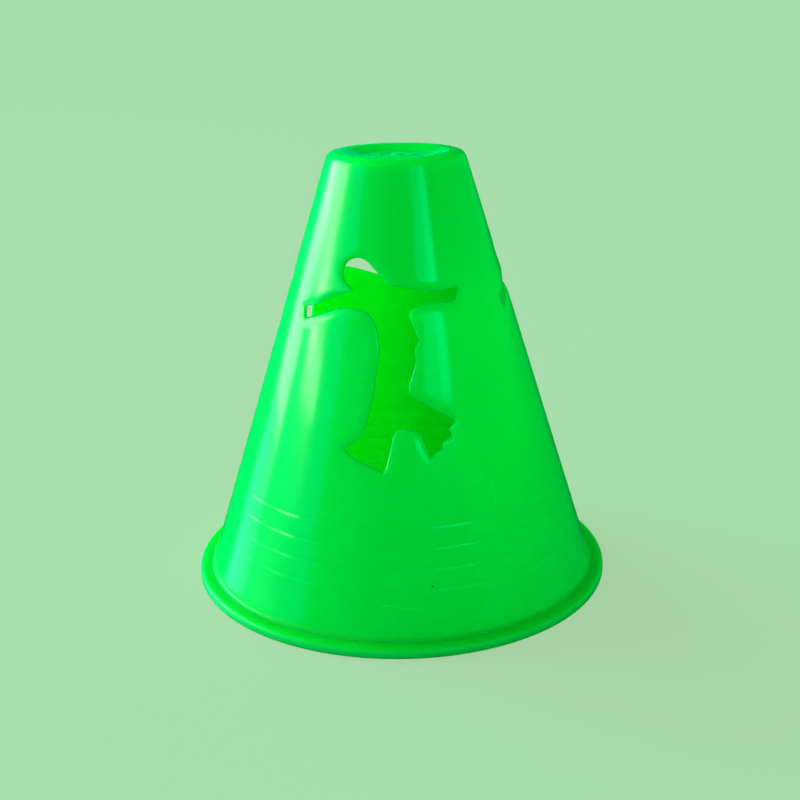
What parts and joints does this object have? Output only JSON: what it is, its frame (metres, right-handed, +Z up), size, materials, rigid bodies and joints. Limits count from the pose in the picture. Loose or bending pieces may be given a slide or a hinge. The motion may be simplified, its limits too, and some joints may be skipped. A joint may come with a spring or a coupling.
{
  "type": "sports marker cone",
  "caption": "Small thin-walled plastic slalom marker cone, open at the foot, with a dished crown, stepped rings, a rolled brim and skater-shaped cut-outs.",
  "frame": {"origin": "on the ground, in the middle of the foot", "axes": "+Z up along the cone's axis, -Y through the middle of the first window"},
  "size_m": [0.0762, 0.0762, 0.077],
  "materials": {
    "shell": "glossy soft polyethylene, moulded in one colour, slightly translucent"
  },
  "bodies": {
    "root": {"cone_shell": "shell"}
  },
  "joints": []
}
